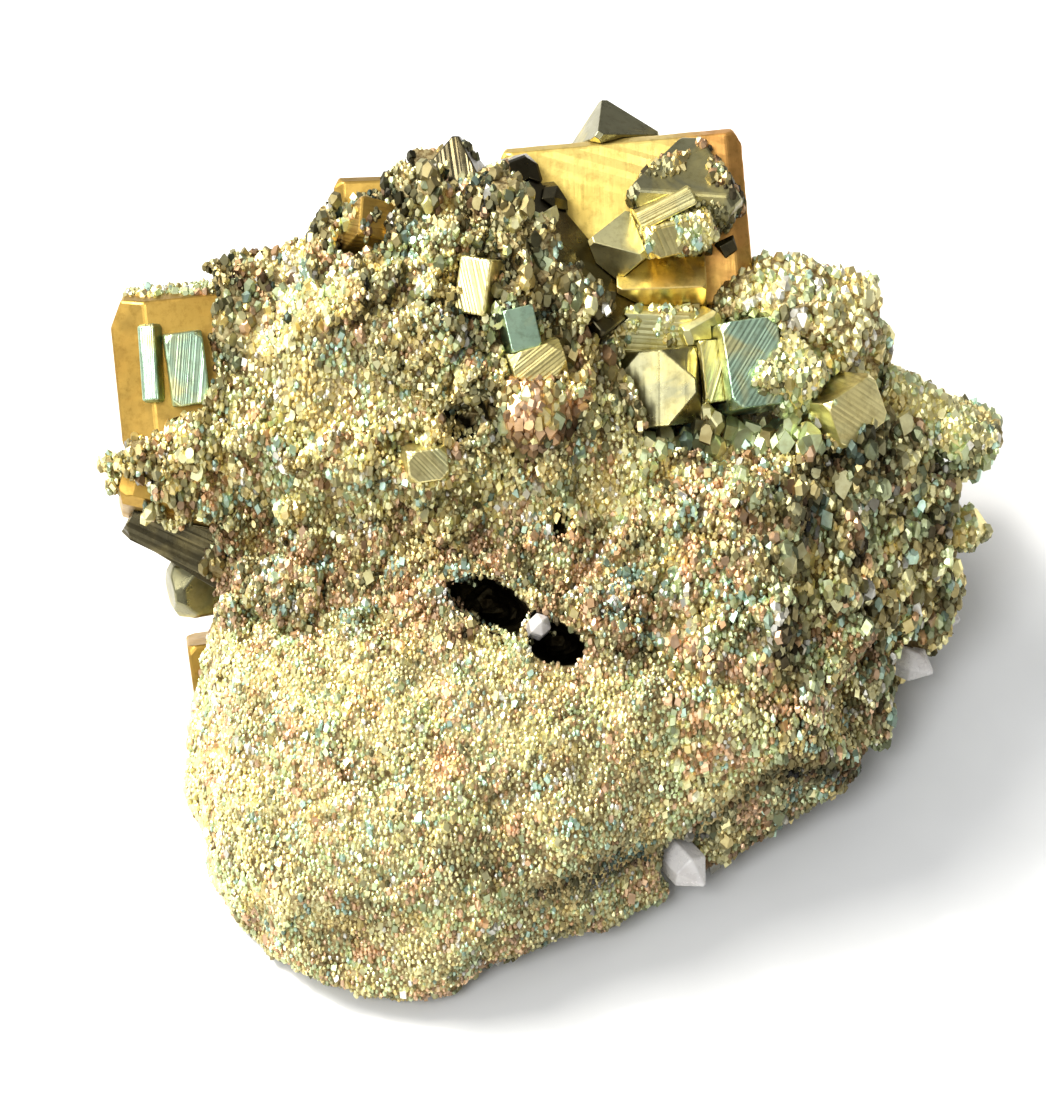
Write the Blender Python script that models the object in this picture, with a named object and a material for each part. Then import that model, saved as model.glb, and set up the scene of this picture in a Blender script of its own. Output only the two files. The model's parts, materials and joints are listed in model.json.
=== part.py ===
"""A pyrite specimen: a wedge of granular pyrite that carries separate cubes, octahedra and quartz points.

The rock stands on a flat broken base at z = 0. Its broad broken face looks forwards and up, and most
places are given on that face, in millimetres: across (to the right), up (up the slope of the face) and
out (away from the rock). The origin is on the base, under the middle of the specimen.
"""

import itertools
import math
from collections import namedtuple

import bmesh
import bpy
from mathutils import Euler, Matrix, Vector, noise

MM = 0.001
FACE_TILT = math.radians(40)  # the broad face lies this far from level
FACE_HEIGHT = 25.0  # mm from the base to the middle of the face
GAP = 0.3  # mm of clearance round each crystal, in its socket and beside its neighbours
MIDDLE = Vector((-0.46, 2.59, 0))  # mm, the middle of the outline, which the origin is moved to

VOXEL = 1.15  # mm, grid that melts the lumps of the matrix into one mass
SOFTENING = 6  # smoothing steps after that
SWELL = 0.9  # mm, makes up for what the smoothing takes off
MATRIX_TRIANGLES = 4400
RUGGED = ((11.0, 1.6), (4.5, 0.8))  # mm, the size and height of the bumps of the broken surface

FACE = Matrix.Translation((0, 0, FACE_HEIGHT)) @ Matrix.Rotation(FACE_TILT, 4, "X")

# One crystal: half its size along its own axes, in mm, its centre in mm and its turn in degrees.
# corner: where the octahedral faces cut, from 1/3 (an octahedron) through 2/3 to 1 (a whole cube).
# edge: where the pyritohedral faces cut the cube's edges, from 2/3 (a pyritohedron) to 1 (not at all).
Crystal = namedtuple("Crystal", "name half at turn corner edge colour", defaults=(0.93, 1.0, "gold"))

COLOURS = {
    "matrix": ((0.60, 0.50, 0.26), 0.45, 0.9),
    "gold": ((0.78, 0.56, 0.24), 0.2, 1.0),
    "pale": ((0.82, 0.76, 0.42), 0.3, 1.0),
    "olive": ((0.30, 0.29, 0.17), 0.25, 1.0),
    "teal": ((0.36, 0.56, 0.47), 0.25, 1.0),
    "copper": ((0.62, 0.38, 0.22), 0.35, 1.0),
    "quartz": ((0.82, 0.79, 0.74), 0.15, 0.0),
}


def on_face(across, up, out):
    """A point of the broad face's own frame, in the part's frame, all in mm."""
    return FACE @ Vector((across, up, out))


# The matrix is made of convex lumps, each the hull of its corners.
BODY = [
    Vector(corner)
    for corner in (
        (-14, -34, -5), (-27, -29, -5), (-35, -14, -5), (-34, 10, -5), (-30, 27, -5), (-10, 33, -5),
        (14, 33, -5), (29, 26, -5), (35, 9, -5), (30, -8, -5), (14, -22, -5), (-2, -29, -5),
        (-34, 10, 26), (-31, 27, 30), (-8, 34, 30), (16, 33, 28), (31, 22, 20), (22, 0, 24), (-18, -6, 24),
    )
]
LOBE = [
    on_face(*corner)
    for corner in (
        (-15, -46.3, 9), (-22, -46.3, 8), (-30, -42, 4), (-36.5, -34, -3), (-39.3, -24, -8),
        (-38, -12, -12), (-36.5, -6, -9), (-9.5, -44, 8), (-1, -39.2, 5.5), (8, -37, 3), (12.5, -34.8, 0),
        (-33, -11, 3), (-34, -26, 6), (-24, -15, 10), (-15, -26, 14.5), (-26, -34, 12), (-10, -40, 13),
        (-4, -17, 12), (6, -24, 12), (3, -34, 9),
    )
]
APRON = [
    on_face(*corner)
    for corner in (
        (-35, -10, -4), (-34, -1, -5), (-32, -13, 4), (-25, -19, 10.5), (-6, -22, 13), (6, -27, 11),
        (13, -27, 6), (20, -12, 11), (2, -2, 9), (-14, 0, 6.5), (-28, 0, 2), (-20, -15, -15), (12, -15, -15),
    )
]
LOWER_RIGHT = [
    on_face(*corner)
    for corner in (
        (2, -10, 10), (20, -4, 12), (22, -14, 11), (28, -21, 5), (33.5, -22.5, -5), (30, -26, -4),
        (25, -28, -3), (20, -30, -3), (14.5, -32.8, -1), (36, -15.5, -12), (12, -28, 6), (4, -20, 13),
        (38.5, -11.5, -17), (20, -10, -20),
    )
]
RIGHT_SHOULDER = [
    on_face(*corner)
    for corner in (
        (18, 12, 6), (24, 11.5, 5), (30, 13, 2), (33, 17, -5), (38, 15.5, -8), (43.5, 12.5, -9),
        (45, 7, -11), (44, -1, -13), (43.5, -5, -16), (39.5, -11.5, -20), (36, -17, -14),
        (22, -2, 12.8), (21.5, -14, 12.2), (31, -6, 2.4), (28, 5, 5.5), (28, 0, -30),
    )
]
HILL = [
    on_face(*corner)
    for corner in (
        (-44.5, 8.5, -1), (-44, 12.5, -1), (-42, 4.5, -3), (-36, 5, 2), (-38.5, 27.3, -2), (-33.5, 30, -1),
        (-29.5, 33, 0), (-24, 35.5, 1), (-18, 38, 1), (-12, 41.5, 0), (-8.5, 40.5, 2), (-5, 37, 4),
        (0, 29.5, 5), (5, 22, 5), (9, 15, 5), (8, 8, 8), (-31, 21, 7), (-20, 26, 11), (-8, 28, 11),
        (-2, 20, 11), (-25, 9, 7), (-10, 11, 11), (-33, 4, 2), (-20, 4, 6), (-32, 24, -24),
        (-6, 30, -24), (5, 14, -25),
    )
]
SADDLE = [
    on_face(*corner)
    for corner in (
        (-39, -1, -7), (-33, 4, 0), (-31, -8, 2), (-14, -6, 5.5), (-12, 4, 8), (4, 4, 10), (19, 6, 10),
        (20, -8, 11), (4, -12, 11), (15, 12, 7), (-20, 0, -20), (20, 0, -20),
    )
]
KNOB = [
    on_face(*corner)
    for corner in (
        (18.5, 28.5, -2), (22, 31, -2), (28, 30.5, -3), (32, 28.8, -3), (35.6, 25.5, -4), (35.2, 21, -5),
        (33, 16.5, -4), (27, 17, 1), (18, 22, 1), (25, 25, 3), (30, 21, 2), (20, 22, -18), (32, 18, -20),
        (13.4, 27.4, -3.4), (13.6, 23.4, -2.6), (15, 22, -2),
    )
]
RECESS_FLOOR = [
    on_face(*corner)
    for corner in (
        (-5, 37, -9), (9, 37.5, -12), (18, 32, -10), (20, 20, -5), (26, 13, 1), (16, 12, 3), (6, 13, 0),
        (3, 24, -6), (0, 28, -30), (18, 22, -32), (28, 14, -24),
    )
]
LEFT_KNOB = [
    on_face(*corner)
    for corner in (
        (-46.8, 9.5, -2), (-46.2, 7, -2.5), (-44, 5, -3), (-40, 4, -2), (-38, 14, 1), (-42.5, 14, 0),
        (-45.8, 12.3, -1), (-42, 9, 2.2), (-38, 9, 3), (-40, 9, -8), (-35, 12, -8), (-35, 5, -8),
    )
]
LUMPS = (BODY, LOBE, APRON, LOWER_RIGHT, RIGHT_SHOULDER, HILL, SADDLE, KNOB, RECESS_FLOOR, LEFT_KNOB)

# Open cavities of the matrix: centre on the face, half sizes in mm and turn in degrees.
CAVITIES = (
    ((-7.2, -5.4, 9.5), (4.2, 2.0, 6.5), (0, 0, -24)),
    ((-0.3, -9.6, 11.0), (2.8, 1.8, 5.5), (0, 0, -12)),
    ((0.2, 2.9, 11.0), (1.0, 1.7, 3.5), (0, 0, 10)),
    ((-9.2, 13.6, 12.0), (2.4, 1.9, 4.5), (0, 0, 24)),
)

# Crystals that the rim and the recess of the broad face show, their centres and turns in the face's frame.
# Where two of them grow into each other, the one named first keeps its faces.
SHOWN_CRYSTALS = (
    Crystal("back_large_cube", (12.9, 9.6, 8.5), (7.5, 34.1, -12.5), (-2, -2, 5), 0.94, 0.95),
    Crystal("left_upper_cube", (10, 10, 9), (-36.9, 18.0, -8.5), (-4, 4, 6), 0.92, 0.87),
    Crystal("left_lower_cube", (5.5, 6.5, 7), (-40.4, 9.7, -8.5), (-8, 4, -13), 0.9, 0.92),
    Crystal("left_blade_outer", (0.8, 4.0, 2.2), (-42.3, 19.7, 0.8), (0, -14, 4), 1.0, 0.95, "teal"),
    Crystal("left_blade_inner", (1.9, 3.7, 2.2), (-39.0, 19.2, 1.1), (6, 8, 8), 0.9, 1.0, "teal"),
    Crystal("left_small_cuboid", (3.2, 2.8, 3.0), (-38.6, -3.6, -11.5), (20, 14, 10), 0.7, 0.9, "olive"),
    Crystal("left_under_crystal", (6.2, 2.8, 5.5), (-39.6, 2.4, -10.6), (12, 6, -30), 0.92, 1.0, "olive"),
    Crystal("left_foot_cube", (3.8, 3.8, 3.8), (-35.8, -12.9, -13.0), (10, 5, 8)),
    Crystal("top_left_cube", (7.2, 7.2, 7.2), (-16.2, 32.4, -8.5), (0, 0, 2), 0.93, 0.95),
    Crystal("ridge_peak", (5.4, 5.4, 5.4), (-10.8, 38.2, -1.0), (8, 32, 4), 0.36, 1.0, "olive"),
    Crystal("hill_step_cube", (2.9, 2.2, 3.0), (-19.2, 33.2, 2.2), (-28, 22, -14), 0.95),
    Crystal("hill_block", (1.6, 2.8, 2.4), (-8.2, 27.2, 9.8), (6, -16, -10), 0.95, 1.0, "pale"),
    Crystal("hill_pale_block", (2.0, 1.6, 2.0), (-13.8, 9.2, 9.6), (14, 10, 8), 0.85, 1.0, "pale"),
    Crystal("ridge_cube", (4.4, 8.8, 4.8), (-1.8, 28.6, -0.6), (0, 52, 40), 0.97, 1.0, "olive"),
    Crystal("ridge_small_cube", (2.4, 2.6, 2.4), (-5.0, 38.6, -1.4), (12, 34, 24), 0.8, 0.95, "olive"),
    Crystal("ridge_round_crystal", (2.4, 2.4, 2.4), (-1.8, 36.2, -2.2), (20, 10, 8), 0.7, 0.8, "olive"),
    Crystal("ridge_teal_cube", (1.5, 2.1, 2.2), (-4.2, 22.8, 9.6), (4, 10, 14), 0.95, 1.0, "teal"),
    Crystal("ridge_pale_wedge", (2.7, 1.7, 2.2), (-2.4, 19.4, 9.6), (10, 6, 18), 0.8, 1.0, "pale"),
    Crystal("top_octahedron", (5.2, 5.2, 5.2), (5.8, 43.4, -9.4), (-12, -14, 13), 0.36, 1.0, "teal"),
    Crystal("dark_octahedron", (7.6, 7.2, 7.4), (13.6, 36.8, -4.0), (-8, 40, -10), 0.38, 1.0, "olive"),
    Crystal("right_dark_tip", (5.2, 4.2, 4.6), (17.4, 33.0, -7.5), (10, 12, -16), 0.4, 1.0, "olive"),
    Crystal("recess_bar", (3.1, 0.9, 2.2), (11.0, 36.2, 0.8), (14, 0, 27), 0.96, 1.0, "pale"),
    Crystal("recess_golden_block", (3.5, 1.7, 2.8), (12.2, 33.6, 0.2), (20, 8, 14), 0.86, 0.95, "pale"),
    Crystal("recess_teal_octahedron", (3.9, 4.0, 3.9), (6.3, 31.8, -1.0), (4, 42, -12), 0.37, 1.0, "teal"),
    Crystal("recess_slab", (4.6, 2.3, 2.6), (10.8, 28.2, -2.0), (52, 0, 2), 0.96),
    Crystal("recess_yellow_block", (5.8, 2.4, 4.0), (8.7, 23.9, -2.4), (18, 4, -2), 0.88, 0.95, "pale"),
    Crystal("recess_olive_cuboid", (4.4, 3.9, 4.0), (10.7, 17.4, -0.4), (6, -12, 4), 0.74, 1.0, "olive"),
    Crystal("recess_column", (1.6, 3.2, 2.6), (15.8, 18.8, 0.4), (0, 18, 6), 0.95, 1.0, "pale"),
    Crystal("recess_teal_cube", (3.0, 4.5, 3.4), (19.6, 19.3, 1.0), (-4, 14, 8), 0.9, 1.0, "teal"),
    Crystal("recess_pitted_pyramid", (4.8, 4.4, 4.4), (24.2, 18.2, 2.0), (4, 40, 4), 0.38, 1.0, "pale"),
    Crystal("recess_yellow_cube", (3.4, 2.6, 3.2), (29.2, 14.8, 1.0), (24, 30, 34), 0.92, 1.0, "pale"),
    Crystal("recess_small_cube", (2.2, 2.0, 2.4), (14.6, 23.0, -0.4), (24, 14, 30), 0.9, 0.9, "pale"),
    Crystal("right_corner_crystal", (3.0, 2.0, 3.2), (43.7, 12.8, -8.2), (26, 10, -22), 0.85, 0.96, "pale"),
    Crystal("right_back_cube", (3.4, 2.8, 3.4), (37.4, 15.4, -8.6), (8, 12, -26), 0.9, 1.0, "pale"),
    Crystal("right_spike", (2.6, 2.2, 2.3), (44.2, 2.5, -11.8), (10, 20, -6), 0.42, 1.0, "pale"),
    Crystal("saddle_copper_crystal", (3.9, 3.7, 3.6), (-2.4, 14.4, 9.2), (12, 20, 12), 0.6, 0.8, "copper"),
)

# Crystals of the back, which the broad face hides, placed and turned in the part's own frame. They follow
# the size and habit of the crystals at the rim.
BACK_CRYSTALS = (
    Crystal("back_left_cube", (8.2, 7.8, 7.8), (-24.0, 26.0, 15.5), (14, 10, 20)),
    Crystal("back_middle_cube", (8.6, 7.6, 8.0), (-4.0, 32.5, 17.0), (-12, 8, -14), 0.88),
    Crystal("back_right_cube", (7.4, 7.0, 7.2), (18.0, 29.5, 14.0), (10, -14, 12)),
    Crystal("back_low_pyritohedron", (5.8, 5.8, 5.8), (7.5, 35.0, 8.5), (8, 24, 10), 1.0, 0.72),
    Crystal("back_left_octahedron", (7.0, 7.0, 7.0), (-33.5, 15.0, 12.0), (16, 30, 28), 0.37, 1.0, "pale"),
    Crystal("back_right_octahedron", (6.8, 6.8, 6.8), (31.0, 19.0, 13.0), (30, 16, 34), 0.37, 1.0, "pale"),
    Crystal("back_foot_cube", (4.2, 4.0, 4.2), (-14.0, 34.0, 7.5), (18, 12, -22), 0.9),
    Crystal("back_top_cube", (5.2, 4.8, 5.2), (-13.0, 32.0, 32.0), (6, 28, 16), 0.9),
)

# Quartz points: radius and length of the prism, in mm, its foot and its direction in the part's own frame.
QUARTZ_POINTS = (
    ("quartz_right", 3.0, 7.6, (33.0, 7.0, 9.0), (0.92, -0.2, -0.1)),
    ("quartz_right_small", 1.9, 5.4, (34.0, 2.2, 7.0), (0.85, -0.5, -0.05)),
    ("quartz_foot", 2.1, 5.0, (10.4, -23.0, 6.0), (0.6, -0.76, -0.06)),
    ("quartz_back", 2.4, 6.6, (24.5, 26.0, 5.5), (0.55, 0.8, 0.2)),
    ("quartz_cavity", 1.1, 2.2, (-2.3, -11.6, 26.4), (0.12, -0.45, 0.9)),
)


def slices(bm, planes):
    """Cuts a closed convex mesh by each plane (normal, distance) and closes the cut."""
    for normal, distance in planes:
        everything = bm.verts[:] + bm.edges[:] + bm.faces[:]
        bmesh.ops.bisect_plane(
            bm, geom=everything, plane_co=normal * distance, plane_no=normal, clear_outer=True
        )
        rim = [edge for edge in bm.edges if edge.is_boundary]
        bmesh.ops.holes_fill(bm, edges=rim)


def crystal_planes(crystal, grow):
    """The octahedral and pyritohedral faces of a crystal, moved out by grow, all in mm."""
    hx, hy, hz = crystal.half
    planes = []
    if crystal.corner < 1:
        reach = crystal.corner * (hx + hy + hz) / math.sqrt(3)
        for signs in itertools.product((-1, 1), repeat=3):
            planes.append((Vector(signs).normalized(), reach + grow))
    if crystal.edge < 1:
        for long, short in itertools.product((-2, 2), (-1, 1)):
            for normal, width in (
                (Vector((long, short, 0)), 2 * hx + hy),
                (Vector((0, long, short)), 2 * hy + hz),
                (Vector((short, 0, long)), 2 * hz + hx),
            ):
                planes.append((normal.normalized(), crystal.edge * width / math.sqrt(5) + grow))
    return planes


def crystal_mesh(crystal, grow=0.0):
    """A cube cut by its octahedral and pyritohedral faces, in mm round its own centre."""
    bm = bmesh.new()
    size = [2 * (half + grow) for half in crystal.half]
    bmesh.ops.create_cube(bm, size=1, matrix=Matrix.Diagonal((*size, 1)))
    slices(bm, crystal_planes(crystal, grow))
    return bm


def quartz_mesh(radius, length, grow=0.0):
    """A six-sided prism from z = 0 to length with a low pyramid on it, in mm."""
    bm = bmesh.new()
    sides, tip = 6, 1.2 * radius
    flat = radius * math.cos(math.pi / sides) + grow
    steep = Vector((math.cos(math.radians(38)), 0, math.sin(math.radians(38))))
    height = length + tip + 2 * grow
    block = Matrix.Translation((0, 0, height / 2 - grow)) @ Matrix.Diagonal((4 * radius, 4 * radius, height, 1))
    bmesh.ops.create_cube(bm, size=1, matrix=block)
    planes = []
    for i in range(sides):
        turn = Matrix.Rotation(i * math.tau / sides, 3, "Z")
        planes.append((turn @ Vector((1, 0, 0)), flat))
        planes.append((turn @ steep, steep.dot(Vector((radius, 0, length))) + grow))
    slices(bm, planes)
    return bm


def lump_mesh(corners):
    """The convex hull of the corners."""
    bm = bmesh.new()
    for corner in corners:
        bm.verts.new(corner)
    bmesh.ops.convex_hull(bm, input=bm.verts[:])
    inside = [vert for vert in bm.verts if not vert.link_faces]
    bmesh.ops.delete(bm, geom=inside, context="VERTS")
    return bm


def cavity_mesh(half, roughness=0.25):
    """A rounded, uneven pocket with the given half sizes."""
    bm = bmesh.new()
    bmesh.ops.create_icosphere(bm, subdivisions=2, radius=1)
    for vert in bm.verts:
        swell = 1 + roughness * noise.noise(vert.co * 2 + Vector(half))
        vert.co = Vector([axis * size * swell for axis, size in zip(vert.co, half)])
    return bm


def add_object(name, bm, placing=Matrix.Identity(4)):
    """A scene object from a mesh in mm, placed by its own matrix, also in mm, and moved over the origin."""
    bmesh.ops.recalc_face_normals(bm, faces=bm.faces[:])
    bm.transform(Matrix.Scale(MM, 4))
    mesh = bpy.data.meshes.new(name)
    bm.to_mesh(mesh)
    bm.free()
    obj = bpy.data.objects.new(name, mesh)
    bpy.context.scene.collection.objects.link(obj)
    place, turn, _ = placing.decompose()
    obj.location = (place - MIDDLE) * MM
    obj.rotation_euler = turn.to_euler()
    return obj


def as_cutter(obj):
    obj.hide_render = True
    obj.display_type = "WIRE"
    return obj


def cut(obj, cutter, operation="DIFFERENCE"):
    modifier = obj.modifiers.new(operation.title(), "BOOLEAN")
    modifier.object = cutter
    modifier.operation = operation


def turned(at, turn):
    """Matrix, in mm, that places and turns something."""
    angles = [math.radians(angle) for angle in turn]
    return Matrix.Translation(at) @ Euler(angles).to_matrix().to_4x4()


def pointed(at, direction):
    """Matrix, in mm, that places something and stands its +Z along a direction."""
    return Matrix.Translation(at) @ Vector(direction).to_track_quat("Z", "Y").to_matrix().to_4x4()


def settle(obj):
    """Applies the modifiers and keeps the largest body, without the crumbs that cuts leave."""
    graph = bpy.context.evaluated_depsgraph_get()
    mesh = bpy.data.meshes.new_from_object(obj.evaluated_get(graph))
    obj.modifiers.clear()
    bm = bmesh.new()
    bm.from_mesh(mesh)
    bm.verts.ensure_lookup_table()
    bodies, seen = [], set()
    for start in bm.verts:
        if start in seen:
            continue
        body, edge_of_body = {start}, [start]
        while edge_of_body:
            vert = edge_of_body.pop()
            for link in vert.link_edges:
                other = link.other_vert(vert)
                if other not in body:
                    body.add(other)
                    edge_of_body.append(other)
        seen |= body
        bodies.append(body)
    bodies.sort(key=len, reverse=True)
    crumbs = [vert for body in bodies[1:] for vert in body]
    bmesh.ops.delete(bm, geom=crumbs, context="VERTS")
    bm.to_mesh(mesh)
    bm.free()
    obj.data = mesh


def rock():
    """The granular mass, from its lumps to a rugged, closed rock with a flat base."""
    bm = bmesh.new()
    for corners in LUMPS:
        lump = lump_mesh(corners)
        mesh = bpy.data.meshes.new("lump")
        lump.to_mesh(mesh)
        lump.free()
        bm.from_mesh(mesh)
        bpy.data.meshes.remove(mesh)
    obj = add_object("matrix", bm)
    melt = obj.modifiers.new("Melt", "REMESH")
    melt.mode, melt.voxel_size = "VOXEL", VOXEL * MM
    soften = obj.modifiers.new("Soften", "SMOOTH")
    soften.iterations = SOFTENING
    swell = obj.modifiers.new("Swell", "DISPLACE")
    swell.strength, swell.mid_level = SWELL * MM, 0
    for size, height in RUGGED:
        texture = bpy.data.textures.new("rugged", "CLOUDS")
        texture.noise_scale, texture.noise_depth = size * MM, 2
        bumps = obj.modifiers.new("Bumps", "DISPLACE")
        bumps.texture, bumps.texture_coords, bumps.strength = texture, "LOCAL", 2 * height * MM
    thin = obj.modifiers.new("Thin", "DECIMATE")
    thin.use_collapse_triangulate = True
    bpy.context.view_layer.update()
    graph = bpy.context.evaluated_depsgraph_get()
    thin.ratio = 1.0
    full = obj.evaluated_get(graph).to_mesh()
    triangles = sum(len(face.vertices) - 2 for face in full.polygons)
    thin.ratio = MATRIX_TRIANGLES / triangles
    return obj


def main():
    for obj in list(bpy.data.objects):
        bpy.data.objects.remove(obj)

    materials = {}
    for name, (colour, roughness, metallic) in COLOURS.items():
        material = bpy.data.materials.new(name)
        material.use_nodes = True
        shader = material.node_tree.nodes["Principled BSDF"]
        shader.inputs["Base Color"].default_value = (*colour, 1)
        shader.inputs["Roughness"].default_value = roughness
        shader.inputs["Metallic"].default_value = metallic
        materials[name] = material

    matrix = rock()
    below = bmesh.new()
    bmesh.ops.create_cube(below, size=1, matrix=Matrix.Translation((0, 0, -25)) @ Matrix.Diagonal((200, 200, 50, 1)))
    cut(matrix, as_cutter(add_object("below_the_base", below)))
    for i, (at, half, turn) in enumerate(CAVITIES):
        cut(matrix, as_cutter(add_object(f"cavity_{i}", cavity_mesh(half), FACE @ turned(at, turn))))

    grown = [(crystal, FACE @ turned(crystal.at, crystal.turn)) for crystal in SHOWN_CRYSTALS]
    grown += [(crystal, turned(crystal.at, crystal.turn)) for crystal in BACK_CRYSTALS]
    pieces = []  # each crystal with the cutter of its socket
    for crystal, placing in grown:
        obj = add_object(crystal.name, crystal_mesh(crystal), placing)
        obj.data.materials.append(materials[crystal.colour])
        socket = as_cutter(add_object("socket_of_" + crystal.name, crystal_mesh(crystal, GAP), placing))
        pieces.append((obj, socket))
    for name, radius, length, foot, direction in QUARTZ_POINTS:
        placing = pointed(foot, direction)
        obj = add_object(name, quartz_mesh(radius, length), placing)
        obj.data.materials.append(materials["quartz"])
        socket = as_cutter(add_object("socket_of_" + name, quartz_mesh(radius, length, GAP), placing))
        pieces.append((obj, socket))

    bpy.context.view_layer.update()
    for i, (obj, _) in enumerate(pieces):
        for earlier, socket in pieces[:i]:
            apart = (obj.matrix_world.translation - earlier.matrix_world.translation).length
            if apart < max(obj.dimensions) + max(earlier.dimensions):
                cut(obj, socket)
    for _, socket in pieces:
        cut(matrix, socket)

    bpy.context.view_layer.update()
    for obj in [matrix, *(piece for piece, _ in pieces)]:
        settle(obj)
    matrix.data.materials.clear()
    matrix.data.materials.append(materials["matrix"])


main()
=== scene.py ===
"""Looks of the pyrite specimen: a granular rock with smooth, striated and tarnished crystals."""

import json
import math
from collections import namedtuple

import bmesh
import bpy
import numpy as np
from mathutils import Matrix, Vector, noise
from mathutils.bvhtree import BVHTree
from mathutils.kdtree import KDTree


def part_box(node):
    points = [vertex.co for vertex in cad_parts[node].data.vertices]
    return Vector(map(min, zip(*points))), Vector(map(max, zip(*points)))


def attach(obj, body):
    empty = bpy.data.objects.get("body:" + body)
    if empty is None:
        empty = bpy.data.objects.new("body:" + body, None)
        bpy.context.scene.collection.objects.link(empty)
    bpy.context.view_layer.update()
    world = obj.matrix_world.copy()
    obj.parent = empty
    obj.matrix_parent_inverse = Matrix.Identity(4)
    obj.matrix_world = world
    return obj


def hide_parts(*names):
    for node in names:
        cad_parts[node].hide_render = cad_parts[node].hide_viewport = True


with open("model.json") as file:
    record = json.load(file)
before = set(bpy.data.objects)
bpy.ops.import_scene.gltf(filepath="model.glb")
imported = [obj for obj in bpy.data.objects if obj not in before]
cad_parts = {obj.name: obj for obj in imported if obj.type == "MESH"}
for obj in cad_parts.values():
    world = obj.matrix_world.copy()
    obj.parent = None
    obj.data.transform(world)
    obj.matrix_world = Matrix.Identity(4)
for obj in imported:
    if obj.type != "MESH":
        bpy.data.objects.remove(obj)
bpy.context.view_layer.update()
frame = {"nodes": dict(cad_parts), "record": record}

MM = 0.001
rng = np.random.default_rng(20)
scene = bpy.context.scene

# The broad broken face: its tilt, and the middle of it in the part's frame. Places on it are in mm:
# across (to the right), up (up its slope) and out (away from the rock).
TILT = math.radians(40)
FACE_MIDDLE = np.array([0.46, -2.59, 25.0])
FACE_AXES = np.array(
    [[1, 0, 0], [0, math.cos(TILT), math.sin(TILT)], [0, -math.sin(TILT), math.cos(TILT)]]
)


def on_face(points):
    """Across, up and out, in mm, of points given in metres."""
    return (np.asarray(points) / MM - FACE_MIDDLE) @ FACE_AXES.T


def from_face(across, up, out):
    """A point in metres from its place on the broad face."""
    return Vector((FACE_MIDDLE + np.array([across, up, out]) @ FACE_AXES) * MM)


# Open cavities of the rock: centre on the face, half sizes in mm and turn in degrees.
CAVITIES = (
    ((-7.2, -5.4, 9.5), (4.2, 2.0, 6.5), -24),
    ((-0.3, -9.6, 11.0), (2.8, 1.8, 5.5), -12),
    ((0.2, 2.9, 11.0), (1.0, 1.7, 3.5), 10),
    ((-9.2, 13.6, 12.0), (2.4, 1.9, 4.5), 24),
)


# Crystals that stand bare, and how far in mm the grains keep from them.
BARE = {
    "ridge_cube": 1.0,
    "quartz_right": 1.6,
    "quartz_right_small": 1.3,
    "quartz_foot": 0.9,
    "left_blade_outer": 0.6,
    "left_blade_inner": 0.6,
    "recess_slab": 0.7,
}


def smooth_step(low, high, value):
    """0 below low, 1 above high and a smooth rise between; low may be the greater, for a fall."""
    t = np.clip((value - low) / (high - low), 0, 1)
    return t * t * (3 - 2 * t)


def linked(name, data):
    """A new object in the scene."""
    obj = bpy.data.objects.new(name, data)
    scene.collection.objects.link(obj)
    return obj


# ---------------------------------------------------------------- materials

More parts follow.
